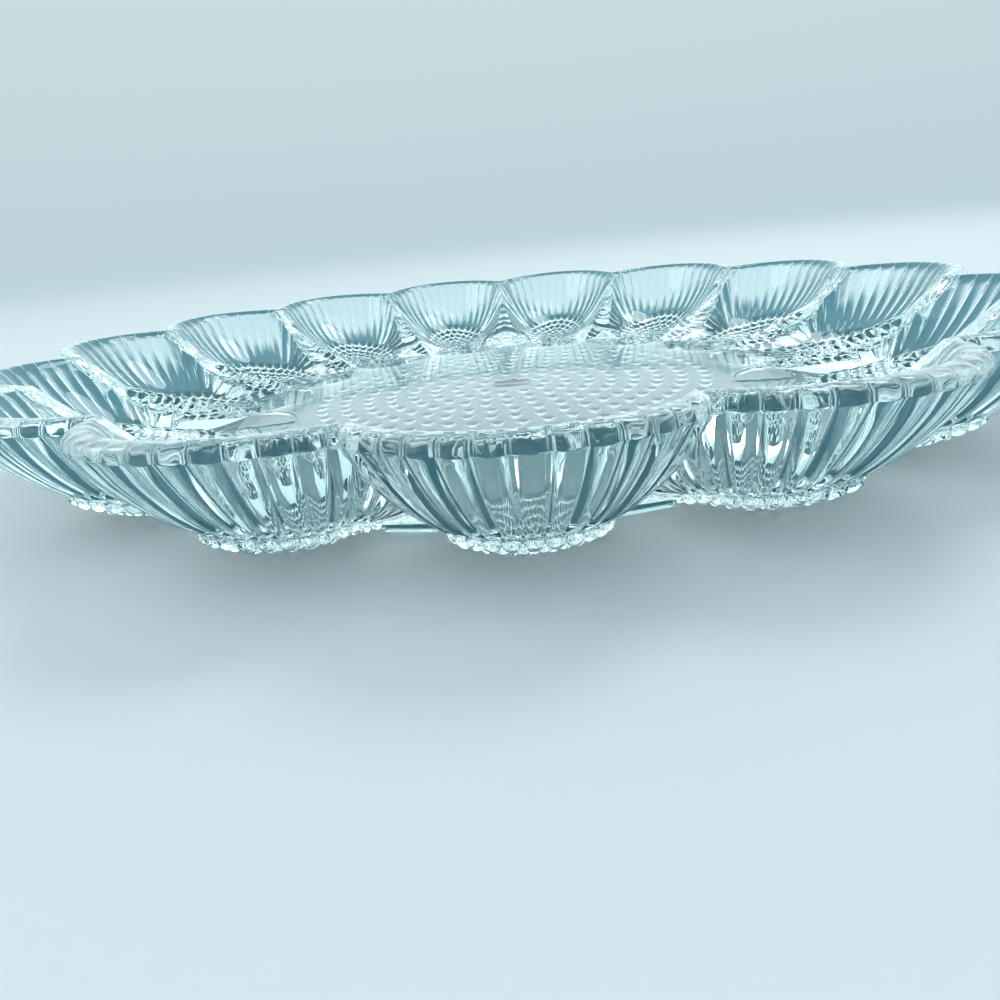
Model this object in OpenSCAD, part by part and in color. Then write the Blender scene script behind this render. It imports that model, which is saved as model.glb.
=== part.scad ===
// Round pressed-glass platter for stuffed egg halves.
// A flat dimpled disc lies in the middle. Egg-shaped wells stand round it,
// fluted on the outside, with a scalloped rim and a foot ring between their pads.
// The real platter is one pressing, so the nodes are its regions: they meet face to face.

/* [Platter] */
// Diameter across the crests of the rim
crest_d = 285; // [275:1:300]
// Height of the rim's crest above the table
platter_h = 29.5; // [27:0.5:34]
// Number of egg wells round the rim
well_count = 15; // [14:1:17]

/* [Rim] */
// How far the notches between the wells lie inside the crest circle
notch_depth = 14.5; // [12:0.5:17]
// How far the rim dips at the notches
notch_dip = 1.2; // [0.4:0.1:2.4]
// How far the mould seam stands outside the crest
seam_out = 1.7; // [1:0.1:2.6]
// How far the mould seam lies below the crest
seam_drop = 2.4; // [1.6:0.1:3.6]
// Height of the raised line along the mould seam
seam_h = 0.3; // [0.2:0.1:0.6]
// Width of the rim's rounded top, from the crest to the inner wall
lip_w = 2.6; // [1.8:0.1:3.6]

/* [Wells] */
// Distance from the platter's axis to the middle of a well's floor
well_r = 106; // [103:0.5:109]
// Radius of the round inner end of a well
well_end_r = 18.8; // [18.4:0.2:21]
// Thickness of the glass in the floor of a well
well_floor_t = 3.2; // [2.6:0.1:4]
// Height of the ground under a well's beaded pad above the table
pad_z = 1; // [0.6:0.1:1.6]
// Distance from the platter's axis to the middle of a beaded pad
pad_r = 108.5; // [105:0.5:110]
// Length of a beaded pad, along the radius
pad_l = 41.5; // [38:0.5:46]
// Width of a beaded pad, across the radius
pad_w = 31; // [26:1:34]
// Slope of the ridge between two wells, in degrees
ridge_slope = 18; // [14:1:22]
// Slope of the inner wall at the notches, in degrees
wall_slope = 47; // [42:1:52]
// Radius that eases the inner wall into the ridges and the rim
ease_r = 1.5; // [0.8:0.1:2.4]

/* [Flutes] */
// Number of flutes along the rim of one well, from notch to notch
rim_flutes = 14; // [10:2:18]
// Number of flutes on one flank of a well, from the notch to the foot ring
flank_flutes = 6; // [4:1:8]
// Depth of a flute at the rim
flute_depth = 0.9; // [0.5:0.1:1.2]

/* [Disc] */
// Distance from the platter's axis to the points of the disc between the wells
cusp_r = 80; // [77:0.5:83]
// Thickness of the disc
disc_t = 3.7; // [3:0.1:4.6]
// Radius of the plain spot in the middle of the disc
plain_r = 8; // [6:0.5:12]
// Radius of a hobnail's foot on the underside of the disc
nail_r = 1.9; // [1.4:0.1:2.3]
// Height of a hobnail
nail_h = 1; // [0.6:0.1:1.4]
// Distance from one ring of hobnails to the next
nail_ring_pitch = 7.1; // [6:0.1:9]
// Distance from one hobnail to the next along a ring
nail_pitch = 6.75; // [5.5:0.25:9]
// Plain band between the outer ring of hobnails and the wells
plain_margin = 5.5; // [4:0.5:12]

/* [Foot ring] */
// Outer radius of the foot ring
foot_r = 105.6; // [103:0.2:108]
// Thickness of the foot ring
foot_t = 2.4; // [1.6:0.1:3.4]
// Height of the foot ring, from the table to the underside of the disc
foot_h = 2.2; // [1.8:0.1:3]
// Height of the steep glass face between the foot ring and the grooves outside it
web_h = 1.5; // [0.5:0.1:2.5]
// Bevel along the bottom edges of the foot ring
foot_bevel = 0.5; // [0.2:0.1:0.7]
// Clearance between the ends of the foot ring and the pads
foot_gap = 0.3; // [0.1:0.1:1]

/* [Hidden] */
glass = [0.83, 0.93, 0.92, 0.75];
fine = 96;

half_angle = 180 / well_count;
well_angle = 360 / well_count;
first_angle = -90;
crest_r = crest_d / 2;
notch_r = crest_r - notch_depth;
notch_z = platter_h - notch_dip;
disc_top_z = foot_h + disc_t;
well_floor_z = pad_z + well_floor_t;

// The circle that a scallop's crest follows goes through the notches at its ends
scallop_x = (pow(crest_r, 2) - pow(notch_r, 2)) / 2 / (crest_r - notch_r * cos(half_angle));
scallop_r = crest_r - scallop_x;
seam_r = scallop_r + seam_out;
// The seam's own notch lies where its circle meets the side plane of the well
seam_notch_r = scallop_x * cos(half_angle)
    + sqrt(pow(seam_r, 2) - pow(scallop_x * sin(half_angle), 2));
seam_notch_z = notch_z - seam_drop - seam_h;
// The round inner end of a well goes through the points of the disc at its sides
end_x = cusp_r * cos(half_angle) + sqrt(pow(well_end_r, 2) - pow(cusp_r * sin(half_angle), 2));

// Directions from the middle of the well's floor to the corners of its outline
notch_angle = atan2(seam_notch_r * sin(half_angle), seam_notch_r * cos(half_angle) - well_r);
foot_angle = atan2(foot_r * sin(half_angle), foot_r * cos(half_angle) - well_r);
cusp_angle = atan2(cusp_r * sin(half_angle), cusp_r * cos(half_angle) - well_r);

// Each corner starts a sector, and each sector has its own number of even steps
flank_steps = 2 * flank_flutes;
back_steps = 6;
end_steps = 4;
notch_step = rim_flutes;
foot_step = notch_step + flank_steps;
cusp_step = foot_step + back_steps;
half_steps = cusp_step + end_steps;
columns = 2 * half_steps;

// Share of the way from the floor to the edge where a wall leaves the floor
flat_share = 0.05;
// How round a wall is from there: 0 for a parabola, 1 for a quarter of an ellipse
round_share = 0.65;
// Rise of the steep face above the foot ring as a share of its run outwards
web_rise_share = 3;
// How much higher than the edge the unrounded inner wall would reach
overshoot_share = 1.25;
// Places of the rows of points between the edge and the floor
inner_row_shares = [0.88, 0.7, 0.48, 0.24];
outer_row_shares = [0.76, 0.5, 0.24, 0];
pad_row_share = 0.5;
// How much a wall's slope stretches a flute's depth when it is measured upright
upright_share = 1.35;
// A point of the disc is cut off by this share of the ease radius
cusp_cut_share = 0.2;

function well_name(i) = str("egg_well_", i < 10 ? "0" : "", i);

// Smaller of two heights, eased where they are closer than k
function ease_min(a, b, k) = min(a, b) - pow(max(k - abs(a - b), 0), 2) / (4 * k);

// Rise of a wall from 0 at the floor to 1 at the edge: flat, then ever steeper
function wall_share(u) =
    let (v = max(u - flat_share, 0) / (1 - flat_share))
    (1 - sqrt(1 - round_share * pow(v, 2))) / (1 - sqrt(1 - round_share));

// Distance from the middle of the floor to a circle on the well's centre line
function to_circle(a, x, r) =
    let (q = well_r - x, b = q * cos(a)) sqrt(pow(b, 2) - pow(q, 2) + pow(r, 2)) - b;

// Distance to the side plane of the well, or to the same plane set in
function meets_side(a) = abs(sin(a)) * cos(half_angle) > cos(a) * sin(half_angle);
function to_side(a, inset) = (well_r * sin(half_angle) - inset)
    / (abs(sin(a)) * cos(half_angle) - cos(a) * sin(half_angle));

// Distance to the round end of the outline that a direction meets, set in from it
function to_round(a, out_r, inset) = abs(a) < foot_angle ? to_circle(a, scallop_x, out_r - inset)
                                                         : to_circle(a, end_x, well_end_r - inset);

// Distance to the outline whose outer round has radius out_r: out round, side or inner round
function outline(a, out_r, inset) =
    !meets_side(a) ? to_round(a, out_r, inset)
    : abs(a) > foot_angle && abs(a) < cusp_angle ? to_side(a, inset)
    : min(to_round(a, out_r, inset), to_side(a, inset));

// Distance to the mould seam and the sides, and to the line of crests inside them
function edge(a, inset) = outline(a, seam_r, inset);
function crest_edge(a) = outline(a, scallop_r, 0);

function at(a, s) = [well_r + s * cos(a), s * sin(a)];
function crest_z(p) = platter_h - notch_dip * pow(atan2(p.y, p.x) / half_angle, 2);

// Height of the ridge between two wells, from the disc to the notch
function ridge_z(p) =
    let (r = norm(p))
    max(disc_top_z,
        disc_top_z + (r - cusp_r) * tan(ridge_slope),
        notch_z - (notch_r - r) * tan(wall_slope));

// Height of the rounded outer half of the rim below its crest
function lip_fall(p) =
    let (d = seam_r - norm(p - [scallop_x, 0]), u = min(max(1 - d / seam_out, 0), 1))
    seam_drop * (1 - sqrt(1 - pow(u, 2)));

// Height of the groove under a ridge, from the foot ring to the mould seam
function groove_z(p) =
    let (d = max(norm(p) - foot_r, 0), rise = seam_notch_z - foot_h - web_h)
    foot_h + min(d * web_rise_share, web_h + d * rise / (seam_notch_r - foot_r));

function top_z(a, s) =
    let (e = crest_edge(a), pe = at(a, e), p = at(a, s),
         crest = min(crest_z(pe), ridge_z(pe)),
         rise = disc_top_z + (crest - disc_top_z) * overshoot_share - well_floor_z,
         bowl = well_floor_z + rise * wall_share(min(s / e, 1)),
         cap = min(crest_z(p) - lip_fall(p), ridge_z(p)))
    ease_min(bowl, cap, ease_r);

function under_z(a, s) =
    let (e = edge(a, 0), pe = at(a, e),
         rim = min(crest_z(pe) - seam_drop - seam_h, groove_z(pe)))
    pad_z + (rim - pad_z) * wall_share(min(s / e, 1));

// Distance from the middle of the floor to the edge of the oval pad, which lies further out
function pad_edge(a) =
    let (shift = pad_r - well_r, long = pow(pad_l / 2, 2), wide = pow(pad_w / 2, 2),
         m = pow(cos(a), 2) / long + pow(sin(a), 2) / wide, n = shift * cos(a) / long)
    (n + sqrt(pow(n, 2) - m * (pow(shift, 2) / long - 1))) / m;

// Direction of a column of points: the steps are even within each sector
function column_angle(k) =
    k > half_steps ? -column_angle(columns - k)
    : k <= notch_step ? notch_angle * k / notch_step
    : k <= foot_step ? notch_angle + (foot_angle - notch_angle) * (k - notch_step) / flank_steps
    : k <= cusp_step ? foot_angle + (cusp_angle - foot_angle) * (k - foot_step) / back_steps
    : cusp_angle + (180 - cusp_angle) * (k - cusp_step) / end_steps;

// A flute's middle lies on every even column, and its valleys on the odd ones
function fluted(k) = k % 2 == 0 && min(k, columns - k) < foot_step ? 1 : 0;
function lobed(k) = fluted(k) > 0 && min(k, columns - k) < notch_step ? 1 : 0;

function seam_point(k, z_top) =
    let (a = column_angle(k), s = edge(a, 0), q = at(a, s + flute_depth * lobed(k)))
    [q.x, q.y, z_top ? top_z(a, s) : under_z(a, s)];

function top_point(a, s) = concat(at(a, s), top_z(a, s));

function under_point(k, share) =
    let (a = column_angle(k), e = edge(a, 0), p = pad_edge(a), s = p + (e - p) * share)
    concat(at(a, s), under_z(a, s) - flute_depth * upright_share * share * fluted(k));

// Faces between a ring of n points and the next ring, which has as many
function ring_faces(a, b, n) =
    [for (k = [0:n - 1]) let (l = (k + 1) % n) each [[a + k, b + k, b + l], [a + k, b + l, a + l]]];

// Faces between a ring of 2n points and the next ring, which has n
function halving_faces(a, b, n) =
    [for (k = [0:n - 1])
        let (l = (k + 1) % n, m = 2 * k, o = (2 * k + 2) % (2 * n))
        each [[a + m, b + k, a + m + 1], [a + m + 1, b + k, b + l], [a + m + 1, b + l, a + o]]];

function fan_faces(a, tip, n) = [for (k = [0:n - 1]) [a + k, tip, a + (k + 1) % n]];
function flipped(faces) = [for (f = faces) [f[2], f[1], f[0]]];

// One well: its inner surface and its outer surface share their columns.
// The rings run inwards from the mould seam on both, and both end at the middle.
module egg_well(i) {
    coarse = [for (k = [0:half_steps - 1]) column_angle(2 * k)];
    top_rings = concat(
        [for (inset = [seam_out, seam_out + lip_w])
            [for (a = coarse) top_point(a, edge(a, inset))]],
        [for (share = inner_row_shares)
            [for (a = coarse) top_point(a, edge(a, seam_out + lip_w) * share)]]);
    under_rings = [for (share = outer_row_shares) [for (k = [0:columns - 1]) under_point(k, share)]];
    pad_ring = [for (a = coarse)
        let (s = pad_edge(a) * pad_row_share) concat(at(a, s), under_z(a, s))];

    points = concat(
        [for (k = [0:columns - 1]) seam_point(k, true)],
        [for (k = [0:columns - 1]) seam_point(k, false)],
        [for (ring = top_rings) each ring],
        [for (ring = under_rings) each ring],
        pad_ring,
        [top_point(0, 0), [well_r, 0, pad_z]]);

    top_start = 2 * columns;
    top_count = len(top_rings);
    under_start = top_start + top_count * half_steps;
    under_count = len(under_rings);
    pad_start = under_start + under_count * columns;
    top_tip = pad_start + half_steps;

    top_faces = concat(
        halving_faces(0, top_start, half_steps),
        [for (j = [0:top_count - 2]) each ring_faces(
            top_start + j * half_steps, top_start + (j + 1) * half_steps, half_steps)],
        fan_faces(top_start + (top_count - 1) * half_steps, top_tip, half_steps));
    under_faces = concat(
        ring_faces(columns, under_start, columns),
        [for (j = [0:under_count - 2]) each ring_faces(
            under_start + j * columns, under_start + (j + 1) * columns, columns)],
        halving_faces(under_start + (under_count - 1) * columns, pad_start, half_steps),
        fan_faces(pad_start, top_tip + 1, half_steps));

    color(glass)
        rotate([0, 0, first_angle + (i - 1) * well_angle])
            polyhedron(points, concat(top_faces, flipped(under_faces),
                                      ring_faces(columns, 0, columns)));
}

// Number of hobnail rings that fit between the plain spot and the plain band
first_nail_r = plain_r + nail_r + (nail_ring_pitch - 2 * nail_r) / 4;
nail_rings = floor((end_x - well_end_r - plain_margin - nail_r - first_nail_r) / nail_ring_pitch);
// A hobnail is the foot of a ball that lies inside the disc
nail_ball_r = (pow(nail_r, 2) + pow(nail_h, 2)) / 2 / nail_h;

module hobnails() {
    for (j = [0:nail_rings]) {
        r = first_nail_r + j * nail_ring_pitch;
        count = round(2 * PI * r / nail_pitch);
        for (k = [0:count - 1])
            rotate([0, 0, 360 * (k + j % 2 / 2) / count])
                translate([r, 0, foot_h - nail_h + nail_ball_r])
                    sphere(r = nail_ball_r, $fn = fine);
    }
}

// The disc's outline is a circle that the round inner ends of the wells cut into
module centre_disc() {
    color(glass) union() {
        translate([0, 0, foot_h])
            linear_extrude(disc_t)
                difference() {
                    circle(r = cusp_r - ease_r * cusp_cut_share, $fn = fine);
                    for (i = [1:well_count])
                        rotate(first_angle + (i - 1) * well_angle)
                            translate([end_x, 0]) circle(r = well_end_r, $fn = fine);
                }
        hobnails();
    }
}

// A piece of the foot ring stands between each two pads, under the ridge there
foot_mid_r = foot_r - foot_t / 2;
pad_half_angle = asin((pad_w / 2 + foot_gap) / foot_mid_r);
foot_span = well_angle - 2 * pad_half_angle;

module foot_ring() {
    color(glass)
        for (i = [1:well_count])
            rotate([0, 0, first_angle + (i - 1) * well_angle + pad_half_angle])
                rotate_extrude(angle = foot_span, $fn = fine)
                    translate([foot_r - foot_t, 0])
                        polygon([[foot_bevel, 0], [foot_t - foot_bevel, 0], [foot_t, foot_bevel],
                                 [foot_t, foot_h], [0, foot_h], [0, foot_bevel]]);
}

centre_disc();
foot_ring();
for (i = [1:well_count])
    egg_well(i);
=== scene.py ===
"""The looks of the platter: clear pressed glass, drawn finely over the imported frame.

The surfaces follow the same formulas as the part's source. Each piece is one region of the
single pressing. The regions share their border points and have no faces between them, so
together they close into one body of glass.
"""

import math

import bpy
import numpy as np
from mathutils import Matrix, Vector
from mathutils.geometry import delaunay_2d_cdt


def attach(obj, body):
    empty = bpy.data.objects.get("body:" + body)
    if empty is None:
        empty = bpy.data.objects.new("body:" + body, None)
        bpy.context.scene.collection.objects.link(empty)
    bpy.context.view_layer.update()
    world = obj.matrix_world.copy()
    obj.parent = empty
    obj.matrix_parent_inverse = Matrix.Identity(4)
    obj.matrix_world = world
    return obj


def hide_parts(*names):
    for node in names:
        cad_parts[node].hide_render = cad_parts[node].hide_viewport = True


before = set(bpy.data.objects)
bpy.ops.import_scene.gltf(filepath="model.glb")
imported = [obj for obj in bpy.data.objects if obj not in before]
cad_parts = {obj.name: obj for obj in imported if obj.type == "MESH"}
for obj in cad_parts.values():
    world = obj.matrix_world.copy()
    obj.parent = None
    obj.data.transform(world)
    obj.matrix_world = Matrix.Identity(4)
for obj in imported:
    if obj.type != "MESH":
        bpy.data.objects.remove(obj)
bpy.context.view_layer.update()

MM = 0.001

# Sizes of the platter, in millimetres, as in the part's source
CREST_R = 142.5
PLATTER_H = 29.5
WELLS = 15
NOTCH_DEPTH = 14.5
NOTCH_DIP = 1.2
SEAM_OUT = 1.7
SEAM_DROP = 2.4
SEAM_H = 0.3
LIP_W = 2.6
WELL_R = 106.0
WELL_END_R = 18.8
FLOOR_T = 3.2
PAD_Z = 1.0
PAD_R = 108.5
PAD_L = 41.5
PAD_W = 31.0
RIDGE_SLOPE = math.tan(math.radians(18))
WALL_SLOPE = math.tan(math.radians(47))
RIM_FLUTES = 14
FLANK_FLUTES = 6
CUSP_R = 80.0
DISC_T = 3.7
PLAIN_R = 8.0
NAIL_R = 1.9
NAIL_H = 1.0
NAIL_RING_PITCH = 7.1
NAIL_PITCH = 6.75
NAIL_RINGS = 8
FOOT_R = 105.6
FOOT_T = 2.4
FOOT_H = 2.2
WEB_H = 1.5
WEB_STEEPNESS = 3
OVERSHOOT_SHARE = 1.25
FLAT_SHARE = 0.05
ROUND_SHARE = 0.65

# Sizes of the fine relief
FLUTE_DEPTH = 0.85
FLUTE_ROUNDNESS = 0.8
LOBE_DEPTH = 0.82
LOBE_TOP_SHARE = 0.95
LOBE_ROUNDNESS = 0.5
FIN_OUT = 0.2
FIN_LEAST = 0.05
RIM_TURN_SHARE = 0.86
SIDE_REACH = 3
RIM_EASE = 3.0
DISC_EASE = 1.5
DISC_EASE_R = 85
RIM_EASE_R = 110
BEAD_PITCH = 3.5
BEAD_ROW_PITCH = 3.05
BEAD_R = 1.72
BEAD_H = 1.75
BEAD_ROUNDNESS = 0.62
LOWEST_BEAD_Z = 0.12
DISC_EDGE = 1.2
NAIL_MARGIN = 0.22
NAIL_FILLET = 0.2
NAIL_FILLET_DROP = 0.05
NAIL_SIDES = 24
DIMPLE_DEPTH = 0.5
WEAR = 0.08
WEAR_LOW = 1.0
WEAR_HIGH = 0.6
FLOOR_GAP = 0.2

HALF = math.pi / WELLS
NOTCH_R = CREST_R - NOTCH_DEPTH
NOTCH_Z = PLATTER_H - NOTCH_DIP
DISC_TOP_Z = FOOT_H + DISC_T
FLOOR_Z = PAD_Z + FLOOR_T
SCALLOP_X = (CREST_R**2 - NOTCH_R**2) / 2 / (CREST_R - NOTCH_R * math.cos(HALF))
SCALLOP_R = CREST_R - SCALLOP_X
SEAM_R = SCALLOP_R + SEAM_OUT
SEAM_NOTCH_R = SCALLOP_X * math.cos(HALF) + math.sqrt(SEAM_R**2 - (SCALLOP_X * math.sin(HALF)) ** 2)
SEAM_NOTCH_Z = NOTCH_Z - SEAM_DROP - SEAM_H
END_X = CUSP_R * math.cos(HALF) + math.sqrt(WELL_END_R**2 - (CUSP_R * math.sin(HALF)) ** 2)


def side_angle(r):
    """Direction from the middle of a well's floor to its side plane at radius r."""
    return math.atan2(r * math.sin(HALF), r * math.cos(HALF) - WELL_R)


NOTCH_ANGLE = side_angle(SEAM_NOTCH_R)
FOOT_ANGLE = side_angle(FOOT_R)
CUSP_ANGLE = side_angle(CUSP_R)

# Columns of points are numbered from the outer end of a well to its inner end. Even ones
# are the middles of flutes and odd ones the valleys between them.
NOTCH_COL = RIM_FLUTES
FOOT_COL = NOTCH_COL + 2 * FLANK_FLUTES
CUSP_COL = FOOT_COL + 6
LAST_COL = CUSP_COL + 4
COLUMN_MARKS = [0, NOTCH_COL, FOOT_COL, CUSP_COL, LAST_COL]
COLUMN_ANGLES = [0, NOTCH_ANGLE, FOOT_ANGLE, CUSP_ANGLE, math.pi]


def column_angle(k):
    return np.interp(k, COLUMN_MARKS, COLUMN_ANGLES)


def smooth(lo, hi, x):
    t = np.clip((x - lo) / (hi - lo), 0, 1)
    return t * t * (3 - 2 * t)


def to_circle(a, x, r):
    q = WELL_R - x
    b = q * np.cos(a)
    return np.sqrt(np.maximum(b * b - q * q + r * r, 0)) - b


def to_side(a, inset):
    d = np.abs(np.sin(a)) * math.cos(HALF) - np.cos(a) * math.sin(HALF)
    meets = d > 1e-9
    return np.where(meets, (WELL_R * math.sin(HALF) - inset) / np.where(meets, d, 1), 1e9)


def outline(a, out_r, inset):
    """Distance from the middle of a well's floor to its outline, set in by inset."""
    aa = np.abs(a)
    outer = to_circle(a, SCALLOP_X, out_r - inset)
    inner = to_circle(a, END_X, WELL_END_R - inset)
    side = to_side(a, inset)
    flank = np.where(aa < CUSP_ANGLE, side, np.minimum(inner, side))
    return np.where(aa < FOOT_ANGLE, np.minimum(outer, side), flank)


def crest_z(x, y):
    return PLATTER_H - NOTCH_DIP * (np.arctan2(y, x) / HALF) ** 2


def ridge_z(x, y):
    r = np.hypot(x, y)
    slope = DISC_TOP_Z + (r - CUSP_R) * RIDGE_SLOPE
    return np.maximum(DISC_TOP_Z, np.maximum(slope, NOTCH_Z - (NOTCH_R - r) * WALL_SLOPE))


def wall_share(u):
    v = np.maximum(u - FLAT_SHARE, 0) / (1 - FLAT_SHARE)
    return (1 - np.sqrt(1 - ROUND_SHARE * v * v)) / (1 - math.sqrt(1 - ROUND_SHARE))


def lip_fall(x, y):
    u = np.clip(1 - (SEAM_R - np.hypot(x - SCALLOP_X, y)) / SEAM_OUT, 0, 1)
    return SEAM_DROP * (1 - np.sqrt(1 - u * u))


def ease_min(a, b, k):
    return np.minimum(a, b) - np.maximum(k - np.abs(a - b), 0) ** 2 / (4 * k)


def top_z(x, y):
    """Height of the upper surface at a point of a well that lies along +X."""
    a = np.arctan2(y, x - WELL_R)
    e = outline(a, SCALLOP_R, 0)
    xe = WELL_R + e * np.cos(a)
    ye = e * np.sin(a)
    crest = np.minimum(crest_z(xe, ye), ridge_z(xe, ye))
    rise = DISC_TOP_Z + (crest - DISC_TOP_Z) * OVERSHOOT_SHARE - FLOOR_Z
    bowl = FLOOR_Z + rise * wall_share(np.minimum(np.hypot(x - WELL_R, y) / e, 1))
    cap = np.minimum(crest_z(x, y) - lip_fall(x, y), ridge_z(x, y))
    ease = DISC_EASE + (RIM_EASE - DISC_EASE) * smooth(DISC_EASE_R, RIM_EASE_R, np.hypot(x, y))
    return ease_min(bowl, cap, ease)


def groove_z(r):
    d = np.maximum(r - FOOT_R, 0)
    slope = (SEAM_NOTCH_Z - FOOT_H - WEB_H) / (SEAM_NOTCH_R - FOOT_R)
    return FOOT_H + np.minimum(d * WEB_STEEPNESS, WEB_H + d * slope)


def under_z(x, y):
    """Height of the lower surface without its relief."""
    a = np.arctan2(y, x - WELL_R)
    e = outline(a, SEAM_R, 0)
    xe = WELL_R + e * np.cos(a)
    ye = e * np.sin(a)
    rim = np.minimum(crest_z(xe, ye) - SEAM_DROP - SEAM_H, groove_z(np.hypot(xe, ye)))
    return PAD_Z + (rim - PAD_Z) * wall_share(np.minimum(np.hypot(x - WELL_R, y) / e, 1))


def pad_edge(a):
    shift = PAD_R - WELL_R
    m = (2 * np.cos(a) / PAD_L) ** 2 + (2 * np.sin(a) / PAD_W) ** 2
    n = shift * np.cos(a) * 4 / PAD_L**2
    return (n + np.sqrt(n * n - m * (4 * shift**2 / PAD_L**2 - 1))) / m


def flute(k):
    """Round rib across each flute: 1 on its middle, 0 in the sharp valleys."""
    t = (k - 2 * np.round(k / 2)) / 2
    return np.where(np.abs(k) < FOOT_COL - 1, np.maximum(1 - 4 * t * t, 0) ** FLUTE_ROUNDNESS, 0)


def bead_places():
    """Middles of the beads, in oval rows from the edge of the pad inwards."""
    places = []
    row = 0
    while True:
        long_half = PAD_L / 2 - BEAD_ROW_PITCH * (row + 0.5)
        wide_half = PAD_W / 2 - BEAD_ROW_PITCH * (row + 0.5)
        if wide_half < BEAD_ROW_PITCH * 0.5:
            break
        t = np.linspace(0, 2 * math.pi, 721)
        x = long_half * np.cos(t)
        y = wide_half * np.sin(t)
        run = np.concatenate([[0], np.cumsum(np.hypot(np.diff(x), np.diff(y)))])
        count = 2 * round(run[-1] / BEAD_PITCH / 2)
        at = (np.arange(count) + 0.5 * (row % 2)) * run[-1] / count
        places.append(np.stack([np.interp(at, run, x), np.interp(at, run, y)], -1))
        row += 1
    places.append(np.stack([np.arange(-1, 2) * BEAD_PITCH, np.zeros(3)], -1))
    return np.concatenate(places) + [PAD_R, 0]


def normals_down(x, y):
    """Directions that point out of the lower surface."""
    h = 0.02
    dx = (under_z(x + h, y) - under_z(x - h, y)) / 2 / h
    dy = (under_z(x, y + h) - under_z(x, y - h)) / 2 / h
    n = np.stack([dx, dy, -np.ones_like(dx)], -1)
    return n / np.linalg.norm(n, axis=-1, keepdims=True)


# Half of the foot ring's outline in section, from its outer side to its middle: distance in
# from the outer side, height, and how far the point then moves outwards, which gives the ring
# its rounded edge. None stands for the plain surface.
HALF_SECTION = [
    (0.0, None, 0.0),
    (0.1, 1.75, -0.12),
    (0.2, 1.35, -0.12),
    (0.3, 1.1, 0.2),
    (0.4, 0.75, 0.38),
    (0.5, 0.4, 0.4),
    (0.62, 0.12, 0.3),
    (0.8, 0.0, 0.0),
]
RING_SECTION = [(FOOT_R - d, z, out) for d, z, out in HALF_SECTION]
RING_SECTION += [(FOOT_R - FOOT_T + d, z, -out) for d, z, out in reversed(HALF_SECTION)]


def half_columns(steps):
    """Numbers of the columns on one side of a well, with those of the foot ring put in."""
    plain = np.linspace(0, LAST_COL, LAST_COL * steps + 1)
    at = [
        FOOT_COL + (side_angle(r) - FOOT_ANGLE) / (CUSP_ANGLE - FOOT_ANGLE) * (CUSP_COL - FOOT_COL)
        for r, _, _ in RING_SECTION
    ]
    kept = plain[(plain < at[0] - 0.05) | (plain > at[-1] + 0.05)]
    both = np.concatenate([kept, at])
    order = np.argsort(both)
    ring = np.full(len(both), -1)
    ring[len(kept):] = np.arange(len(at))
    return both[order], ring[order]


def build_columns(steps):
    """All columns round a well, from one inner end to the other through the outer end."""
    k, ring = half_columns(steps)
    back = slice(1, -1)
    return np.concatenate([k, -k[back][::-1]]), np.concatenate([ring, ring[back][::-1]])


COLS, RING_AT = build_columns(5)
EDGE_A = np.sign(COLS + 1e-12) * column_angle(np.abs(COLS))
EDGE_S = outline(EDGE_A, SEAM_R, 0)
EDGE_X = WELL_R + EDGE_S * np.cos(EDGE_A)
EDGE_Y = EDGE_S * np.sin(EDGE_A)


def inner_angles():
    """Directions to the columns' ends on the pad. Near the foot ring they keep its radius."""
    a = EDGE_A.copy()
    goal = np.hypot(EDGE_X, EDGE_Y)
    near = np.abs(COLS)
    for i in np.flatnonzero((near > FOOT_COL - 5) & (near < FOOT_COL + 5)):
        lo = abs(EDGE_A[i]) - 0.4
        hi = abs(EDGE_A[i]) + 0.4
        for _ in range(50):
            mid = (lo + hi) / 2
            s = float(pad_edge(mid))
            if math.hypot(WELL_R + s * math.cos(mid), s * math.sin(mid)) > goal[i]:
                lo = mid
            else:
                hi = mid
        before = smooth(FOOT_COL - 5, FOOT_COL - 2, near[i])
        after = smooth(FOOT_COL + 1.5, FOOT_COL + 5, near[i])
        share = float(before * (1 - after))
        a[i] = np.sign(EDGE_A[i]) * (abs(EDGE_A[i]) * (1 - share) + lo * share)
    return a


INNER_A = inner_angles()
PAD_S = pad_edge(INNER_A)
PAD_X = WELL_R + PAD_S * np.cos(INNER_A)
PAD_Y = PAD_S * np.sin(INNER_A)
IN_RIM = np.abs(COLS) <= NOTCH_COL


def lobe(v):
    """How far the rim stands out at height share v between the seam and the crest. Each flute
    ends there in a round arch."""
    lift = np.where(IN_RIM, flute(COLS) - (v / LOBE_TOP_SHARE) ** 2, 0)
    return LOBE_DEPTH * np.maximum(lift, 0) ** LOBE_ROUNDNESS


def push_out(x, y, amount):
    """Moves points of the rim outwards, square to the scallop, and along the side plane there."""
    d = np.stack([x - SCALLOP_X, y], -1)
    d /= np.linalg.norm(d, axis=-1, keepdims=True)
    corner = np.abs(np.abs(COLS) - NOTCH_COL) < 1e-6
    along = np.stack([np.full(len(COLS), math.cos(HALF)), np.sign(COLS) * math.sin(HALF)], -1)
    d = np.where(corner[:, None], along, d)
    return x + d[:, 0] * amount, y + d[:, 1] * amount


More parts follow.
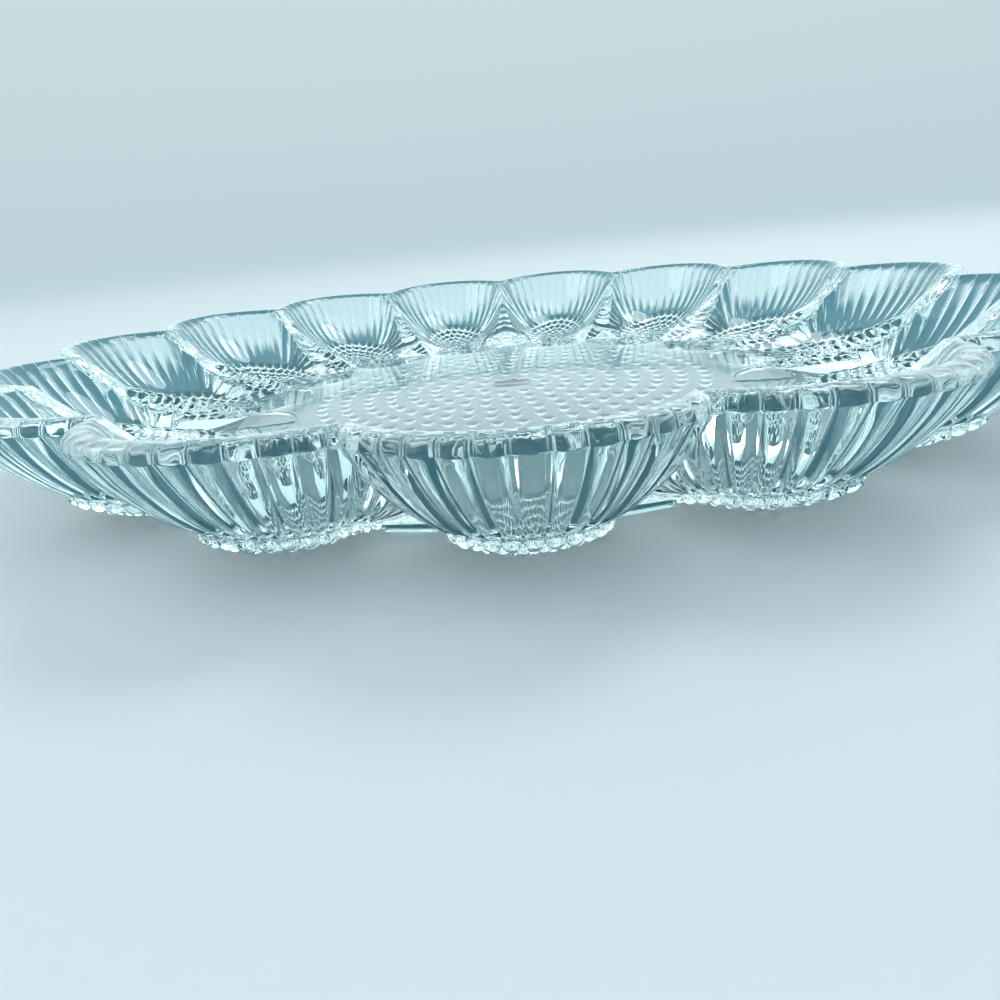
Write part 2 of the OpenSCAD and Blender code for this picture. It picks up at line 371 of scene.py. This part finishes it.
def top_rows():
    rows = []
    lip = np.radians(np.linspace(0, 90, 19))
    insets = list(SEAM_OUT * (1 - np.cos(lip)))
    insets += list(SEAM_OUT + LIP_W * np.array([0.25, 0.5, 0.75, 1.0]))
    for i, inset in enumerate(insets):
        s = outline(EDGE_A, SEAM_R, inset)
        x = WELL_R + s * np.cos(EDGE_A)
        y = s * np.sin(EDGE_A)
        z = top_z(x, y)
        if i < len(lip):
            x, y = push_out(x, y, lobe(i / (len(lip) - 1)))
        rows.append(np.stack([x, y, z], -1))
    last = outline(EDGE_A, SEAM_R, SEAM_OUT + LIP_W)
    for share in np.concatenate([np.linspace(0.98, 0.5, 30), np.linspace(0.48, 0.04, 12)]):
        x = WELL_R + last * share * np.cos(EDGE_A)
        y = last * share * np.sin(EDGE_A)
        rows.append(np.stack([x, y, top_z(x, y)], -1))
    return rows


def wall_row(share):
    """A row of points between the pad and the rim on the lower surface."""
    x = PAD_X + (EDGE_X - PAD_X) * share
    y = PAD_Y + (EDGE_Y - PAD_Y) * share
    z = under_z(x, y)
    n = normals_down(x, y)
    out = np.stack([x - SCALLOP_X, y, np.zeros_like(x)], -1)
    out /= np.linalg.norm(out, axis=-1, keepdims=True)
    turn = smooth(RIM_TURN_SHARE, 1.0, share) * IN_RIM[:, None]
    n = n * (1 - turn) + out * turn
    # Beside the side plane, points move along it only, so that neighbours meet
    still = np.zeros(len(COLS))
    across = np.stack([still - math.sin(HALF), np.sign(COLS) * math.cos(HALF), still], -1)
    gap = np.abs(x * math.sin(HALF) - np.abs(y) * math.cos(HALF))
    keep = np.clip(gap / SIDE_REACH, 0, 1)[:, None]
    part = np.sum(n * across, -1, keepdims=True)
    n = n - across * part * (1 - keep)
    p = np.stack([x, y, z], -1) + n * (FLUTE_DEPTH * share * flute(COLS))[:, None]
    if share > 0:
        for i, (r, height, shift) in enumerate(RING_SECTION):
            if height is not None:
                p[RING_AT == i, 2] = height
                p[RING_AT == i, :2] *= 1 + shift / r
    return p


BEADS = bead_places()


def pad_row(share):
    """A row of points on the pad, share of the way out from its middle, with the beads."""
    x = WELL_R + (PAD_X - WELL_R) * share
    y = PAD_Y * share
    z = under_z(x, y)
    n = normals_down(x, y)
    gap = np.hypot(x[:, None] - BEADS[None, :, 0], y[:, None] - BEADS[None, :, 1]).min(1)
    dome = np.maximum(1 - (gap / BEAD_R) ** 2, 0) ** BEAD_ROUNDNESS
    height = dome * np.minimum(BEAD_H, z - LOWEST_BEAD_Z)
    return np.stack([x, y, z], -1) + n * height[:, None]


def ring_quads(a, b, n):
    k = np.arange(n)
    j = (k + 1) % n
    return np.stack([a + k, b + k, b + j, a + j], -1)


def well_shape():
    """Points and faces of one well along +X, and the faces that belong to the foot ring."""
    n = len(COLS)
    top = top_rows()
    wall_shares = np.concatenate([1 - np.linspace(0, 0.1, 7), np.linspace(0.87, 0.06, 30), [0.03]])
    under = [wall_row(share) for share in wall_shares]
    under += [pad_row(share) for share in np.linspace(1, 0.03, 52)]
    # The seam is a thin fin between the first rows of both surfaces, along the rim only
    stand_out = FLUTE_DEPTH * flute(COLS) + FIN_LEAST + (FIN_OUT - FIN_LEAST) * (1 - flute(COLS))
    x, y = push_out(EDGE_X, EDGE_Y, np.where(IN_RIM, stand_out, 0))
    fin = np.stack([x, y, (top[0][:, 2] + under[0][:, 2]) / 2], -1)
    rows = top[::-1] + [fin] + under
    tips = np.array([[WELL_R, 0, FLOOR_Z], [WELL_R, 0, LOWEST_BEAD_Z]])
    points = np.concatenate(rows + [tips])
    quads = np.concatenate([ring_quads(i * n, (i + 1) * n, n) for i in range(len(rows) - 1)])
    k = np.arange(n)
    j = (k + 1) % n
    top_tip = len(rows) * n
    last = (len(rows) - 1) * n
    top_fan = np.stack([j, np.full(n, top_tip), k], -1)
    low_fan = np.stack([last + k, np.full(n, top_tip + 1), last + j], -1)
    fans = np.concatenate([top_fan, low_fan])
    col = quads[:, 0] % n
    nxt = (col + 1) % n
    row = quads[:, 0] // n
    first_wall = len(top) + 1
    last_wall = first_wall + len(wall_shares)
    in_ring = (RING_AT[col] >= 0) & (RING_AT[nxt] >= 0) & (row > first_wall) & (row <= last_wall)
    past_rim = np.minimum(np.abs(COLS[col]), np.abs(COLS[nxt])) > NOTCH_COL - 1e-9
    inside = (row >= first_wall - 2) & (row < first_wall) & past_rim
    return points, quads[~in_ring & ~inside], fans, quads[in_ring]


def new_mesh(name, points, quads, tris, flat=None):
    """Mesh from points in millimetres. Faces whose number is in flat are shaded flat."""
    used = np.unique(np.concatenate([quads.ravel(), tris.ravel()]).astype(np.int64))
    index = np.full(len(points), -1)
    index[used] = np.arange(len(used))
    mesh = bpy.data.meshes.new(name)
    mesh.vertices.add(len(used))
    mesh.vertices.foreach_set("co", (points[used] * MM).astype(np.float32).ravel())
    corners = np.concatenate([index[quads].ravel(), index[tris].ravel()]).astype(np.int32)
    mesh.loops.add(len(corners))
    mesh.loops.foreach_set("vertex_index", corners)
    starts = np.concatenate([np.arange(len(quads)) * 4, len(quads) * 4 + np.arange(len(tris)) * 3])
    mesh.polygons.add(len(starts))
    mesh.polygons.foreach_set("loop_start", starts.astype(np.int32))
    mesh.update(calc_edges=True)
    mesh.validate()
    smooth_faces = np.ones(len(mesh.polygons), dtype=bool)
    if flat is not None:
        smooth_faces[flat] = False
    mesh.polygons.foreach_set("use_smooth", smooth_faces)
    mesh.update()
    return mesh


def turned(points, i):
    a = -math.pi / 2 + i * 2 * HALF
    c = math.cos(a)
    s = math.sin(a)
    x = points[:, 0] * c - points[:, 1] * s
    y = points[:, 0] * s + points[:, 1] * c
    return np.stack([x, y, points[:, 2]], -1)


def glass_material():
    mat = bpy.data.materials.new("clear_glass")
    mat.use_nodes = True
    nodes = mat.node_tree.nodes
    links = mat.node_tree.links
    shader = nodes["Principled BSDF"]
    shader.inputs["Base Color"].default_value = (0.91, 0.97, 0.965, 1)
    shader.inputs["Roughness"].default_value = 0.0
    shader.inputs["IOR"].default_value = 1.52
    shader.inputs["Transmission Weight"].default_value = 1.0
    # Fire polishing leaves pressed glass very slightly wavy
    place = nodes.new("ShaderNodeTexCoord")
    waves = nodes.new("ShaderNodeTexNoise")
    waves.inputs["Scale"].default_value = 120
    waves.inputs["Detail"].default_value = 1.5
    bump = nodes.new("ShaderNodeBump")
    bump.inputs["Strength"].default_value = 1.0
    bump.inputs["Distance"].default_value = 0.00003
    links.new(place.outputs["Object"], waves.inputs["Vector"])
    links.new(waves.outputs["Fac"], bump.inputs["Height"])
    links.new(bump.outputs["Normal"], shader.inputs["Normal"])
    # Use has dulled the top of the disc a little
    wear = nodes.new("ShaderNodeAttribute")
    wear.attribute_name = "wear"
    links.new(wear.outputs["Fac"], shader.inputs["Roughness"])
    return mat


GLASS = glass_material()


def merged_normals(meshes):
    """One normal for each place, from the faces of all pieces that meet there, so that light
    runs on over the pieces' borders. Corners of flat faces keep their face's own normal."""
    spots = []
    pushes = []
    loops = []
    for mesh in meshes:
        co = np.empty(len(mesh.vertices) * 3)
        mesh.vertices.foreach_get("co", co)
        co = co.reshape(-1, 3)
        vert = np.empty(len(mesh.loops), dtype=np.int64)
        mesh.loops.foreach_get("vertex_index", vert)
        total = np.empty(len(mesh.polygons), dtype=np.int64)
        mesh.polygons.foreach_get("loop_total", total)
        face = np.repeat(np.arange(len(total)), total)
        normal = np.empty(len(total) * 3)
        mesh.polygons.foreach_get("normal", normal)
        area = np.empty(len(total))
        mesh.polygons.foreach_get("area", area)
        smooth_face = np.empty(len(total), dtype=bool)
        mesh.polygons.foreach_get("use_smooth", smooth_face)
        normal = normal.reshape(-1, 3)
        spots.append(co[vert])
        pushes.append(normal[face] * area[face, None])
        loops.append((normal[face], smooth_face[face]))
    where = np.round(np.concatenate(spots) / (MM * 0.002)).astype(np.int64)
    _, place = np.unique(where, axis=0, return_inverse=True)
    place = place.ravel()
    push = np.concatenate(pushes)
    total = np.stack([np.bincount(place, push[:, i]) for i in range(3)], -1)
    total /= np.maximum(np.linalg.norm(total, axis=-1, keepdims=True), 1e-12)
    start = 0
    for mesh, (own, smooth_loop) in zip(meshes, loops):
        part = total[place[start:start + len(own)]]
        start += len(own)
        mesh.normals_split_custom_set(np.where(smooth_loop[:, None], part, own).tolist())


def add_piece(name, mesh, *nodes):
    piece = bpy.data.objects.new(name, mesh)
    bpy.context.scene.collection.objects.link(piece)
    mesh.materials.append(GLASS)
    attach(piece, "root")
    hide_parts(*nodes)
    PIECES.append(piece)


PIECES = []
NO_TRIS = np.zeros((0, 3), dtype=np.int64)
well_points, well_quads, well_fans, ring_faces = well_shape()
for i in range(WELLS):
    name = "egg_well_%02d" % (i + 1)
    placed = turned(well_points, i)
    add_piece(name + "_glass", new_mesh(name + "_glass", placed, well_quads, well_fans), name)

ring_points = np.concatenate([turned(well_points, i) for i in range(WELLS)])
ring_all = np.concatenate([ring_faces + i * len(well_points) for i in range(WELLS)])
add_piece("foot_ring_glass", new_mesh("foot_ring_glass", ring_points, ring_all, NO_TRIS), "foot_ring")


def nail_places():
    places = []
    first = PLAIN_R + NAIL_R + (NAIL_RING_PITCH - 2 * NAIL_R) / 4
    for j in range(NAIL_RINGS):
        r = first + j * NAIL_RING_PITCH
        count = round(2 * math.pi * r / NAIL_PITCH)
        a = 2 * math.pi * (np.arange(count) + (j % 2) / 2) / count
        places.append(np.stack([r * np.cos(a), r * np.sin(a)], -1))
    return np.concatenate(places)


def disc_border():
    """The disc's outline: the wells' inner ends, which its top and bottom share."""
    inner = np.flatnonzero(np.abs(COLS) >= CUSP_COL - 1e-9)
    order = inner[np.argsort(np.where(COLS[inner] > 0, COLS[inner], COLS[inner] + 2 * LAST_COL))]
    top = np.stack([EDGE_X, EDGE_Y, top_z(EDGE_X, EDGE_Y)], -1)[order]
    low = np.stack([EDGE_X, EDGE_Y, under_z(EDGE_X, EDGE_Y)], -1)[order]
    # Both run clockwise in a well, so they are turned round, and the shared corner is left out
    tops = np.concatenate([turned(top[::-1][:-1], i) for i in range(WELLS)])
    lows = np.concatenate([turned(low[::-1][:-1], i) for i in range(WELLS)])
    return tops, lows


# Radius and depth of the rings of points on top of the disc, which has a dimple in its middle
DIMPLE = [
    (50, 0),
    (20, 0),
    (6.6, 0),
    (6.2, -0.02),
    (5.6, -0.1),
    (4.6, -0.26),
    (3.2, -0.4),
    (1.6, -0.48),
]


def disc_top(tops):
    """Points, quads and middle fan of the disc's top, from its border inwards."""
    n = len(tops)
    r = np.hypot(tops[:, 0], tops[:, 1])
    rows = [tops]
    for d in np.linspace(0, DISC_EDGE, 7)[1:]:
        share = (r - d) / r
        z = DISC_TOP_Z - (DISC_TOP_Z - tops[:, 2]) * (1 - d / DISC_EDGE) ** 2
        rows.append(np.stack([tops[:, 0] * share, tops[:, 1] * share, z], -1))
    a = np.arctan2(tops[:, 1], tops[:, 0])
    for radius, z in DIMPLE:
        rows.append(np.stack([radius * np.cos(a), radius * np.sin(a), np.full(n, DISC_TOP_Z + z)], -1))
    points = np.concatenate(rows + [np.array([[0, 0, DISC_TOP_Z - DIMPLE_DEPTH]])])
    quads = np.concatenate([ring_quads((i + 1) * n, i * n, n) for i in range(len(rows) - 1)])
    k = np.arange(n)
    last = (len(rows) - 1) * n
    fan = np.stack([last + k, last + (k + 1) % n, np.full(n, len(rows) * n)], -1)
    return points, quads, fan


def disc_underside(lows):
    """Points and faces of the disc's underside with its hobnails, and which faces are plain."""
    ball = (NAIL_R**2 + NAIL_H**2) / 2 / NAIL_H
    rings = [(NAIL_R + NAIL_MARGIN, 0), (NAIL_R, NAIL_FILLET_DROP), (NAIL_R - NAIL_FILLET, None)]
    rings += [(NAIL_R * share, None) for share in (0.7, 0.45, 0.2)]
    spots = [Vector(p[:2]) for p in lows.tolist()]
    heights = list(lows[:, 2])
    edges = [(i, (i + 1) % len(lows)) for i in range(len(lows))]
    turn = np.linspace(0, 2 * math.pi, NAIL_SIDES + 1)[:-1]
    for x, y in nail_places():
        for radius, drop in rings:
            fall = math.sqrt(ball**2 - min(radius, NAIL_R) ** 2) - (ball - NAIL_H)
            if drop is not None:
                fall = drop
            start = len(spots)
            for t in turn[:: 1 if radius > 1 else 2]:
                spots.append(Vector((x + radius * math.cos(t), y + radius * math.sin(t))))
                heights.append(FOOT_H - fall)
            if drop == 0:
                edges += [(start + i, start + (i + 1) % NAIL_SIDES) for i in range(NAIL_SIDES)]
        spots.append(Vector((x, y)))
        heights.append(FOOT_H - NAIL_H)
    verts, _, faces, sources, _, _ = delaunay_2d_cdt(spots, edges, [], 1, 1e-7)
    points = np.array([[v.x, v.y, heights[s[0]]] for v, s in zip(verts, sources)])
    tris = np.array([f for f in faces if len(f) == 3])
    corner = points[tris]
    cross = np.cross(corner[:, 1, :2] - corner[:, 0, :2], corner[:, 2, :2] - corner[:, 0, :2])
    tris[cross > 0] = tris[cross > 0][:, ::-1]
    plain = (corner[:, :, 2] > FOOT_H - 1e-6).all(1)
    return points, tris, plain


def disc_mesh():
    tops, lows = disc_border()
    top_points, quads, fan = disc_top(tops)
    low_points, low_tris, plain = disc_underside(lows)
    points = np.concatenate([top_points, low_points])
    tris = np.concatenate([fan, low_tris + len(top_points)])
    flat = len(quads) + len(fan) + np.flatnonzero(plain)
    mesh = new_mesh("centre_disc_glass", points, quads, tris, flat)
    co = np.empty(len(mesh.vertices) * 3)
    mesh.vertices.foreach_get("co", co)
    # The top is dull, and the underside with its hobnails stays clear
    worn = WEAR * smooth(FOOT_H + WEAR_LOW, DISC_TOP_Z - WEAR_HIGH, co[2::3] / MM)
    wear = mesh.attributes.new("wear", "FLOAT", "POINT")
    wear.data.foreach_set("value", worn.astype(np.float32))
    return mesh


add_piece("centre_disc_glass", disc_mesh(), "centre_disc")
merged_normals([piece.data for piece in PIECES])


def plain_material(name, colour, rough):
    mat = bpy.data.materials.new(name)
    mat.use_nodes = True
    shader = mat.node_tree.nodes["Principled BSDF"]
    shader.inputs["Base Color"].default_value = (*colour, 1)
    shader.inputs["Roughness"].default_value = rough
    shader.inputs["Specular IOR Level"].default_value = 0.1
    return mat


def add_ramp(nodes, stops):
    """Colour ramp node from pairs of place and colour."""
    ramp = nodes.new("ShaderNodeValToRGB")
    ramp.color_ramp.interpolation = "EASE"
    for i, (reach, colour) in enumerate(stops):
        stop = ramp.color_ramp.elements[i] if i < 2 else ramp.color_ramp.elements.new(reach)
        stop.position = reach
        stop.color = (*colour, 1)
    return ramp


def floor_with_painted_shade():
    """Pale floor as the camera sees it. What the glass bends and mirrors of it carries painted shade:
    a deeper tone under and around the platter, so that the clear glass stands out against it."""
    pale = (0.68, 0.66, 0.67)
    mat = plain_material("floor_with_painted_shade", pale, 0.9)
    nodes = mat.node_tree.nodes
    links = mat.node_tree.links
    # Painted shade, seen by every ray but the camera's: a deep tone out to 0.22 m from the platter's
    # axis, fading to nearly pale by 0.30 m
    painted_shade_stops = [(0.22, (0.12, 0.23, 0.27)), (0.30, (0.62, 0.64, 0.66))]
    place = nodes.new("ShaderNodeTexCoord")
    length = nodes.new("ShaderNodeVectorMath")
    length.operation = "LENGTH"
    links.new(place.outputs["Object"], length.inputs[0])
    path = nodes.new("ShaderNodeLightPath")
    mix = nodes.new("ShaderNodeMix")
    mix.data_type = "RGBA"
    # Camera rays get the pale colour, and all other rays get the painted shade
    links.new(path.outputs["Is Camera Ray"], mix.inputs["Factor"])
    ramp = add_ramp(nodes, painted_shade_stops)
    links.new(length.outputs["Value"], ramp.inputs["Fac"])
    links.new(ramp.outputs["Color"], mix.inputs["A"])
    mix.inputs["B"].default_value = (*pale, 1)
    links.new(mix.outputs["Result"], nodes["Principled BSDF"].inputs["Base Color"])
    return mat


def wide_floor():
    reach = 30.0  # metres each way
    mesh = bpy.data.meshes.new("floor")
    corners = [(-reach, -reach, 0), (reach, -reach, 0), (reach, reach, 0), (-reach, reach, 0)]
    mesh.from_pydata(corners, [], [(0, 1, 2, 3)])
    floor = bpy.data.objects.new("floor", mesh)
    floor.location.z = -FLOOR_GAP * MM
    mesh.materials.append(floor_with_painted_shade())
    bpy.context.scene.collection.objects.link(floor)


wide_floor()


def soft_world():
    """Soft light from all round, brightest low down behind the platter and dimmer on the
    camera's side. The backdrop that the camera sees itself is plainer."""
    world = bpy.data.worlds.new("studio")
    bpy.context.scene.world = world
    world.use_nodes = True
    nodes = world.node_tree.nodes
    links = world.node_tree.links
    place = nodes.new("ShaderNodeTexCoord")
    parts = nodes.new("ShaderNodeSeparateXYZ")
    links.new(place.outputs["Generated"], parts.inputs[0])
    studio = [
        (0.0, (0.62, 0.74, 0.77)),
        (0.12, (0.84, 0.97, 1.0)),
        (0.36, (0.84, 0.97, 1.0)),
        (0.56, (0.64, 0.80, 0.83)),
    ]
    backdrop = [(0.0, (0.41, 0.49, 0.52)), (0.25, (0.45, 0.525, 0.55))]
    glow = add_ramp(nodes, studio)
    links.new(parts.outputs["Z"], glow.inputs["Fac"])
    plain = add_ramp(nodes, backdrop)
    links.new(parts.outputs["Z"], plain.inputs["Fac"])
    side = nodes.new("ShaderNodeMapRange")
    side.inputs["From Min"].default_value = -0.75
    side.inputs["From Max"].default_value = 0.15
    side.inputs["To Min"].default_value = 0.16
    side.inputs["To Max"].default_value = 1.0
    links.new(parts.outputs["Y"], side.inputs["Value"])
    dimmed = nodes.new("ShaderNodeMix")
    dimmed.data_type = "RGBA"
    dimmed.inputs["A"].default_value = (0.30, 0.44, 0.48, 1)
    links.new(side.outputs["Result"], dimmed.inputs["Factor"])
    links.new(glow.outputs["Color"], dimmed.inputs["B"])
    path = nodes.new("ShaderNodeLightPath")
    seen = nodes.new("ShaderNodeMix")
    seen.data_type = "RGBA"
    links.new(path.outputs["Is Camera Ray"], seen.inputs["Factor"])
    links.new(dimmed.outputs["Result"], seen.inputs["A"])
    links.new(plain.outputs["Color"], seen.inputs["B"])
    links.new(seen.outputs["Result"], nodes["Background"].inputs["Color"])


soft_world()


def area_light(name, place, aim, size, power, colour):
    data = bpy.data.lights.new(name, "AREA")
    data.shape = "DISK"
    data.size = size
    data.energy = power
    data.color = colour
    light = bpy.data.objects.new(name, data)
    light.location = place
    light.rotation_euler = (Vector(aim) - Vector(place)).to_track_quat("-Z", "Y").to_euler()
    bpy.context.scene.collection.objects.link(light)


area_light("key", (0.5, 0.5, 1.2), (0, 0, 0), 0.6, 3, (0.94, 1, 1))
area_light("fill", (-0.8, -0.2, 0.9), (0, 0, 0), 0.8, 1.5, (0.93, 0.98, 1))


def photo_camera():
    """Camera from the fit to the photograph: its place in millimetres, its turns in radians."""
    place = Vector((-2.41, -229.8, 53.74)) * MM
    yaw = -0.0216
    pitch = 0.3651
    roll = -0.0956
    ahead = Vector((math.sin(yaw) * math.cos(pitch), math.cos(yaw) * math.cos(pitch), -math.sin(pitch)))
    level = Vector((math.cos(yaw), -math.sin(yaw), 0))
    upright = level.cross(ahead)
    right = level * math.cos(roll) + upright * math.sin(roll)
    up = upright * math.cos(roll) - level * math.sin(roll)
    data = bpy.data.cameras.new("camera")
    data.sensor_width = 36
    data.lens = 25.895
    data.clip_start = 0.01
    data.clip_end = 20
    camera = bpy.data.objects.new("camera", data)
    turn = Matrix((right, up, -ahead)).transposed().to_4x4()
    camera.matrix_world = Matrix.Translation(place) @ turn
    bpy.context.scene.collection.objects.link(camera)
    bpy.context.scene.camera = camera


photo_camera()

scene = bpy.context.scene
scene.view_settings.view_transform = "Standard"
scene.view_settings.look = "High Contrast"
scene.cycles.max_bounces = 24
scene.cycles.glossy_bounces = 16
scene.cycles.transmission_bounces = 24
